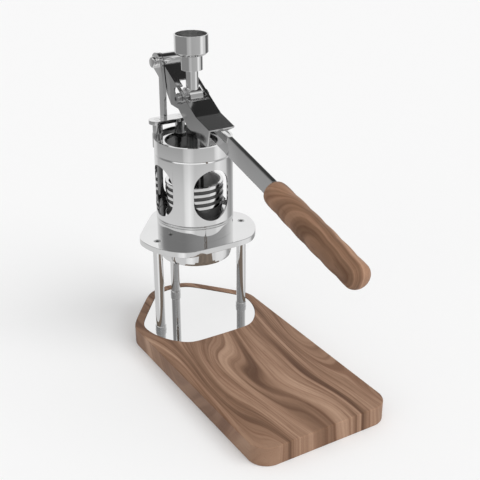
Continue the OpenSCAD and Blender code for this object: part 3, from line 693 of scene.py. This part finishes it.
def make_head():
    low, top, line = 113.4, Z_SHELL + SPIGOT_H, Z_SHELL - 2.4
    cavity_r, cavity_top = 36.6, 121
    gasket_r, gasket_top = 31.8, 126.2
    throat_r, throat_top, socket_r = 27.5, 127.4, 30.1
    head = turned("brew_head_body", [
        (cavity_r, low), (SPIGOT_R, low), (SPIGOT_R, Z_DECK), (SHELL_R, Z_DECK), (SHELL_R, line - 0.4),
        (SHELL_R - 0.6, line), (SHELL_R, line + 0.4), (SHELL_R, Z_SHELL - SEAM),
        (SHELL_R - SEAM, Z_SHELL), (SPIGOT_R, Z_SHELL), (SPIGOT_R, top), (socket_r, top),
        (socket_r, throat_top), (throat_r, throat_top), (throat_r, gasket_top), (gasket_r, gasket_top),
        (gasket_r, cavity_top), (cavity_r, cavity_top)], 128)
    slit_angle = radians(-103.5)
    slit = sawn("slit", [(-2, -0.6), (0.6, -0.6), (0.6, 0.6), (-2, 0.6)], 12, Z_DECK + 1)
    slit.rotation_euler = (0, 0, slit_angle)
    slit.location = Vector((SHELL_R * cos(slit_angle), SHELL_R * sin(slit_angle), 0)) * MM
    cut(head, slit)
    ease(head, 0.35, 2)
    hand_over(head, "frame", "mirror_steel", HEAD_STEEL, "brew_head")


def stadium(half, height, count=24):
    straight = height / 2 - half
    return (arc((0, straight), half, 0, 180, count) + arc((0, -straight), half, 180, 360, count))


def make_shell():
    inside = SHELL_R - SHELL_WALL
    shell = turned("shell_tube", [
        (inside, Z_SHELL), (SHELL_R - SEAM, Z_SHELL), (SHELL_R, Z_SHELL + SEAM),
        (SHELL_R, Z_RING - 1.2), (SHELL_R - SEAM, Z_RING), (inside, Z_RING)], 160)
    middle = Z_SHELL + WINDOW_LOW + WINDOW_H / 2
    outline = [(a, b + middle) for a, b in stadium(WINDOW_R, WINDOW_H)]
    for angle in (0, 90):
        hole = sawn("window", outline, 120, -60, way="X")
        hole.rotation_euler = (0, 0, radians(angle))
        cut(shell, hole)
    ease(shell, 0.3, 2)
    hand_over(shell, "frame", "mirror_steel", STEEL, "shell")
    # Painted shade on the shell's inner walls
    line_inside(shell, BORE_SHADE_STEEL, 38.5, Z_SHELL, Z_RING)
    # Painted reflection on the right part of the shell's inner walls
    paint_bore_reflection(shell, Z_SHELL)


def make_ring():
    inside, ledge = SPIGOT_R - 2, Z_RIM - LEDGE_SUNK
    ledge_low = ledge - LEDGE_T
    ring = turned("top_ring_body", [
        (inside, Z_RING - SPIGOT_H), (SPIGOT_R, Z_RING - SPIGOT_H), (SPIGOT_R, Z_RING),
        (SHELL_R - SEAM, Z_RING), (SHELL_R, Z_RING + SEAM), (SHELL_R, Z_RIM), (SPIGOT_R, Z_RIM),
        (SPIGOT_R, ledge), (LEDGE_R, ledge), (LEDGE_R, ledge_low), (inside, ledge_low)], 160)
    for side in (-1, 1):
        ear = round_bar("ear", POST_R + 0.6, Z_RING, Z_RIM, (side * POST_X, POST_Y))
        cut(ear, round_bar("room", 35, Z_RING - 5, Z_RIM + 5, steps=96))
        cut(ring, ear, "UNION")
    cut(ring, round_bar("pad", POST_R + 0.6, ledge_low, ledge, (0, POST_Y)), "UNION")
    cut(ring, round_bar("stud_hole", 2.05, Z_RIM - 9, Z_RIM, (0, POST_Y)))
    ease(ring, 0.35, 2)
    hand_over(ring, "frame", "mirror_steel", STEEL, "top_ring")
    # Painted shade on the ring's bore
    line_inside(ring, BORE_SHADE_STEEL, 38.5, Z_RING - 5, Z_RIM)
    # Painted reflection on the right part of the ring's bore
    paint_bore_reflection(ring, Z_RING - 5)


def make_chamber():
    outer, groove, bore, foot, top = 30, 28.7, 26, 127.5, 178
    band_h, pitch, lowest = 3.4, 6.8, 148
    highs = [top - n * pitch for n in range(4)]
    profile = [(bore, foot), (outer, foot), (outer, Z_SHELL + SPIGOT_H), (groove, Z_SHELL + SPIGOT_H)]
    for high in reversed(highs):
        profile += [(groove, high - band_h), (outer, high - band_h), (outer, high)]
        if high < top:
            profile.append((groove, high))
    profile += [(bore + 1, top), (bore, top - 1)]
    chamber = turned("chamber_body", profile, 128)
    ease(chamber, 0.35, 2)
    hand_over(chamber, "frame", "black_chamber", ENAMEL, "brew_chamber")
    chamber.data.materials.append(STEEL)
    for face in chamber.data.polygons:
        x, y, z = (v / MM for v in face.center)
        if z > top - 1.5 or z > lowest and hypot(x, y) > outer - 0.1:
            face.material_index = 1
    # Painted reflection on the right part of the chamber's bore
    paint_bore_reflection(chamber, 150)


# Posts, bridge and uprights

def make_posts():
    ledge, end = Z_RIM - LEDGE_SUNK, Z_BRIDGE - 0.05
    spigot = [(POST_R, Z_BRIDGE_LOW), (SPIGOT_PIN_R, Z_BRIDGE_LOW), (SPIGOT_PIN_R, end), (0, end)]
    on_ear = [(0, Z_RIM), (POST_R, Z_RIM)]
    on_ledge = [(0, ledge - 4), (2, ledge - 4), (2, ledge), (POST_R, ledge)]
    for name, x, foot in (("post_left", -POST_X, on_ear), ("post_right", POST_X, on_ear),
                          ("post_rear", 0, on_ledge)):
        post = turned("turned_" + name, foot + spigot, 64, (x, POST_Y))
        ease(post, 0.2, 2)
        hand_over(post, "frame", "mirror_steel", STEEL, name)


def make_bridge():
    outline = (arc((BRIDGE_END, POST_Y), BRIDGE_R, -90, 90, 24)
               + arc((-BRIDGE_END, POST_Y), BRIDGE_R, 90, 270, 24))
    bridge = sawn("bridge_plate_body", outline, Z_BRIDGE - Z_BRIDGE_LOW, Z_BRIDGE_LOW)
    for side in (-1, 0, 1):
        cut(bridge, round_bar("spigot_hole", 3, Z_BRIDGE_LOW - 3, Z_BRIDGE + 3, (side * POST_X, POST_Y)))
    ease(bridge, 0.3, 2)
    hand_over(bridge, "frame", "mirror_steel", STEEL, "bridge_plate")


def make_uprights():
    front, back = POST_Y - 0.55, POST_Y + BRIDGE_R
    eye = arc((PIVOT_Y, Z_PIVOT), EYE_R, -58, 160, 36)
    outline = [(back, Z_BRIDGE), (back, Z_PIVOT - 14)] + eye + [(front, Z_PIVOT - 25), (front, Z_BRIDGE)]
    for name, start in (("upright_left", -UPRIGHT_X - UPRIGHT_T), ("upright_right", UPRIGHT_X)):
        upright = sawn(name + "_plate", outline, UPRIGHT_T, start, way="X")
        cut(upright, round_bar("pin_hole", 4.05, -30, 30, (PIVOT_Y, Z_PIVOT), axis="X"))
        ease(upright, 0.4, 3)
        hand_over(upright, "frame", "mirror_steel", STEEL, name)


def make_pivot():
    x, cap_r, hub_bore, hub_r, hub_half = UPRIGHT_X + UPRIGHT_T, 5.8, 5.2, 8.5, 12.4
    profile = [(0, x), (cap_r, x), (cap_r, x + 4), (cap_r - 1, x + 5), (0, x + 5)]
    caps = None
    for side in (-1, 1):
        cap = turned("pivot_cap_pair", [(r, side * z) for r, z in profile], 64, (PIVOT_Y, Z_PIVOT), "X")
        caps = cut(caps, cap, "UNION") if caps else cap
    ease(caps, 0.3, 2)
    hand_over(caps, "frame", "mirror_steel", STEEL, "pivot_caps")
    hub = turned("hub_barrel", [(hub_bore, -hub_half), (hub_r, -hub_half), (hub_r, hub_half),
                                (hub_bore, hub_half)], 64, (PIVOT_Y, Z_PIVOT), "X")
    ease(hub, 0.3, 2)
    hand_over(hub, "lever", "mirror_steel", STEEL, "lever_hub")


# Lever: drawings are made forward and up from the pivot, square to the arm

def on_lever(piece):
    """Turns a drawing in YZ, forward and up, into the lever's place"""
    forward = Vector((0, -cos(radians(ARM_SLOPE)), -sin(radians(ARM_SLOPE))))
    upward = Vector((0, -sin(radians(ARM_SLOPE)), cos(radians(ARM_SLOPE))))
    turn = Matrix(((1, 0, 0), (0, forward.y, upward.y), (0, forward.z, upward.z))).to_4x4()
    piece.data.transform(Matrix.Translation(Vector((0, PIVOT_Y, Z_PIVOT)) * MM) @ turn)
    pick(piece)
    bpy.ops.object.mode_set(mode="EDIT")
    return closed_up(piece)


def lever_lines():
    """The bend's angle, the fold, the lower arm's two ways, and the sheet's front end"""
    bend = radians(ARM_SLOPE - BAR_SLOPE)
    fold = Vector((FOLD_AT, TOP_RISE))
    ahead, down = Vector((cos(bend), sin(bend))), Vector((sin(bend), -cos(bend)))
    return bend, fold, ahead, down, fold + NOSE_LEN * ahead


def folded_sheet(pin_reach):
    """The sheet with its sides, before its windows are cut"""
    bend, fold, ahead, down, tip = lever_lines()
    low = TOP_RISE - CHANNEL_DEPTH
    corner = tip + (CHANNEL_DEPTH - 1.5) * down - 1.5 * ahead
    belly = tip + CHANNEL_DEPTH * down - (NOSE_LEN + 13) * ahead
    eye_end = degrees(asin(TOP_RISE / 9)) - 360
    side = ([tuple(fold), tuple(tip)]
            + arc(corner, 1.5, degrees(bend), degrees(bend) - 90, 8)
            + [tuple(belly), (pin_reach + 2.4, low), (pin_reach - 11.8, low - 7.5)]
            + arc((0, 0), 9, -116, eye_end, 36))
    inside = [(9, 30), (9, TOP_RISE - SHEET_T), (FOLD_AT + SHEET_T * tan(bend / 2), TOP_RISE - SHEET_T),
              tuple(tip + SHEET_T * down + 20 * ahead), (150, -60), (-30, -60), (-30, 30)]
    half = CHANNEL_W / 2
    sheet = sawn("lever_sheet", side, CHANNEL_W, -half, way="X")
    return cut(sheet, sawn("inside", inside, CHANNEL_W - 2 * SHEET_T, -half + SHEET_T, way="X"))


def make_channel():
    ahead, down, tip = lever_lines()[2:]
    pin_reach = hypot(PIVOT_Y, Z_PIVOT - Z_PIN)
    pin_angle = degrees(atan((Z_PIVOT - Z_PIN) / PIVOT_Y)) - ARM_SLOPE
    channel = folded_sheet(pin_reach)
    far = pin_reach + 12.7
    for half_width, near in ((7.6, PIVOT_Y - 10), (11, PIVOT_Y - 1.4)):
        outline = [(near, 0), (far, 0), (far, 8), (near, 8)]
        cut(channel, sawn("window", outline, 2 * half_width, -half_width, way="X"))
    slot_r = 4.65
    first, last = [(u * cos(radians(-pin_angle)), u * sin(radians(-pin_angle)))
                   for u in (PIVOT_Y - 0.5, pin_reach + 0.5)]
    slot = (arc(first, slot_r, 90 - pin_angle, 270 - pin_angle, 16)
            + arc(last, slot_r, -90 - pin_angle, 90 - pin_angle, 16))
    cut(channel, sawn("slot", slot, 40, -20, way="X"))
    cut(channel, round_bar("eye_hole", 5.2, -20, 20, axis="X"))
    start, half = tip + SHEET_T * down, CHANNEL_W / 2
    slant = [start, start + ahead, start + CHANNEL_DEPTH * down + ahead,
             start + CHANNEL_DEPTH * down - SIDE_CUT * ahead]
    outline = [tuple(p) for p in slant]
    cut(channel, sawn("slanted_end", outline, SHEET_T + 1.5, half - SHEET_T - 0.5, way="X"))
    ease(channel, 0.55, 2, shade=10)
    edges = [i for i, face in enumerate(channel.data.polygons)
             if 0.15 < abs(face.normal.x) < 0.97 and abs(face.center.x) / MM > half - 1]
    on_lever(channel)
    smooth(channel, 10)
    hand_over(channel, "lever", "dark_steel", SHEET_STEEL, "lever_channel")
    channel.data.materials.append(SATIN_STEEL)
    channel.data.materials.append(BLACKENED_AND_EDGE_REFLECTION)
    # Upward-facing side bevels get blackened steel: a painted dark reflection line
    for i in edges:
        if channel.data.polygons[i].normal.z > 0.2:
            channel.data.polygons[i].material_index = 2
    inner = half - SHEET_T
    for face in channel.data.polygons:
        x = abs(face.center.x) / MM
        wall = abs(face.normal.x) > 0.9 and abs(x - inner) < 0.1
        under = x < inner and face.normal.z < -0.7
        if wall or under:
            face.material_index = 1


def along_bar(name, corners, half):
    """A flat bar along the lower arm, from corners past the fold and down from the sheet's top"""
    fold, ahead, down = lever_lines()[1:4]
    return sawn(name, [tuple(fold + y * ahead + z * down) for y, z in corners], 2 * half, -half, way="X")


def make_bar():
    past, end, tang_half = NOSE_LEN + 0.3, BAR_LEN + GRIP_LEN * 0.55, 6
    bar = along_bar("flat_bar", [(2, SHEET_T), (past, SHEET_T), (past + BAR_RAMP, 0), (BAR_LEN, 0),
                                 (BAR_LEN, BAR_H), (2, BAR_H)], BAR_T / 2)
    ease(bar, 0.7, 3, shade=4)
    high, low = GRIP_DROP - tang_half, GRIP_DROP + tang_half
    tang = along_bar("tang", [(BAR_LEN - 0.5, high), (end, high), (end, low), (BAR_LEN - 0.5, low)],
                     BAR_T / 2 - 0.8)
    cut(bar, tang, "UNION")
    on_lever(bar)
    smooth(bar, 4)
    hand_over(bar, "lever", "mirror_steel", BAR_STEEL, "lever_bar")


def grip_radius(s):
    """Radius along the grip, with shallow finger waves and rounded ends"""
    wave = GRIP_LEN / 6
    swell = 0.9 * sin(pi * s / GRIP_LEN) + 0.55 * abs(sin(pi * s / wave))
    nose, tail = min(s, 6), min(GRIP_LEN - s, 9)
    return (GRIP_R - 1.45 + swell - (2.4 - 2.4 * sqrt(1 - (1 - nose / 6) ** 2))
            - (9 - 9 * sqrt(1 - (1 - tail / 9) ** 2)))


def make_grip():
    fold, ahead, down = lever_lines()[1:4]
    steps = 90
    lengths = [(GRIP_LEN - 0.02) * (1 - cos(pi * i / steps)) / 2 for i in range(steps + 1)]
    profile = [(0, 0)] + [(max(grip_radius(s), 0.05), s) for s in lengths] + [(0, GRIP_LEN - 0.02)]
    grip = turned("walnut_handle", profile, 64)
    # The grip stands upright when turned, so it is laid along the bar
    start = fold + BAR_LEN * ahead + GRIP_DROP * down
    lay = Matrix(((1, 0, 0, 0), (0, down.x, ahead.x, 0), (0, down.y, ahead.y, 0), (0, 0, 0, 1)))
    grip.data.transform(Matrix.Translation(Vector((0, start.x, start.y)) * MM) @ lay)
    on_lever(grip)
    smooth(grip, 60)
    hand_over(grip, "lever", "walnut", WALNUT_GRIP, "handle_grip")


# Piston, crosshead and cup

def make_crosshead():
    bore, drum_r, half = 3.05, 10, 7
    drum = turned("crosshead_body", [(bore, -half), (drum_r, -half), (drum_r, half), (bore, half)], 96,
                  (0, Z_PIN), "X")
    cut(drum, round_bar("stem", STEM_R, Z_PIN + 5, Z_PIN + STEM_H, steps=64), "UNION")
    ease(drum, 0.35, 2)
    hand_over(drum, "piston", "mirror_steel", STEEL, "crosshead")


def make_pin():
    x, pin_r, head_r = UPRIGHT_X + 1.2, 3, 5.2
    pin = turned("cross_pin_body", [(0, -x - 3), (head_r, -x - 3), (head_r, -x), (pin_r, -x),
                                    (pin_r, x + 1.4), (0, x + 1.4)], 64, (0, Z_PIN), "X")
    cut(pin, round_bar("socket", 2.3, -x - 4, -x - 1, (0, Z_PIN), 6, "X"))
    ease(pin, 0.3, 2)
    hand_over(pin, "piston", "bare_steel", TURNED_STEEL, "cross_pin")


def make_rod():
    stud_r, stud_low, rod_r, rod_low, rod_top = 4, 131.5, 6.5, 141.3, 261
    rod = turned("piston_rod_body", [(0, stud_low), (stud_r, stud_low), (stud_r, rod_low),
                                     (rod_r, rod_low), (rod_r, rod_top), (0, rod_top)], 64)
    cut(rod, round_bar("saddle", 10.1, -12, 12, (0, Z_PIN), 64, "X"))
    ease(rod, 0.2, 2)
    hand_over(rod, "piston", "bare_steel", STEEL, "piston_rod")


def make_cup():
    low = Z_PIN + STEM_H
    collar = round_bar("collar_body", 10.9, low, low + COLLAR_H, steps=96)
    ease(collar, 0.35, 2)
    hand_over(collar, "piston", "mirror_steel", STEEL, "cup_collar")
    z = low + COLLAR_H
    rim, wall = z + CUP_H, CUP_R - 1.4
    cup = turned("small_cup", [(0, z), (14.2, z), (CUP_R, z + 2.6), (CUP_R, rim), (wall, rim),
                               (wall, z + 6.5), (13.9, z + 5), (0, z + 5)], 96)
    ease(cup, 0.3, 2)
    hand_over(cup, "piston", "mirror_steel", STEEL, "gauge_cup")
    line_inside(cup, CUP_INSIDE, 15.7, z + 5, rim)
    for face in cup.data.polygons:
        if hypot(face.center.x, face.center.y) < 14 * MM and z + 4.9 < face.center.z / MM < z + 6.4:
            face.material_index = 1


for make in (make_board, make_plate, make_legs, make_platform, make_head, make_shell, make_ring,
             make_chamber, make_posts, make_bridge, make_uprights, make_pivot, make_channel,
             make_bar, make_grip, make_crosshead, make_pin, make_rod, make_cup):
    make()


# Solids whose shape is right keep their mesh and get a finish

CARRIED = {
    "base_screws": BLACKENED_AND_EDGE_REFLECTION, "post_screws": BLACKENED_AND_EDGE_REFLECTION, "platform_screws": TURNED_STEEL,
    "head_gasket": SEAL, "chamber_seal": SEAL, "piston_seals": SEAL, "dispersion_screen": TURNED_STEEL,
    "filter_basket": TURNED_STEEL, "filter_holder": STEEL, "pivot_pin": TURNED_STEEL, "pivot_bushes": BRONZE,
    "pin_washers": TURNED_STEEL, "pin_nut": TURNED_STEEL, "piston_head": ENAMEL,
}
for name, finish in CARRIED.items():
    solid = nodes[name]
    solid.data.materials.clear()
    solid.data.materials.append(finish)

drop_selection()
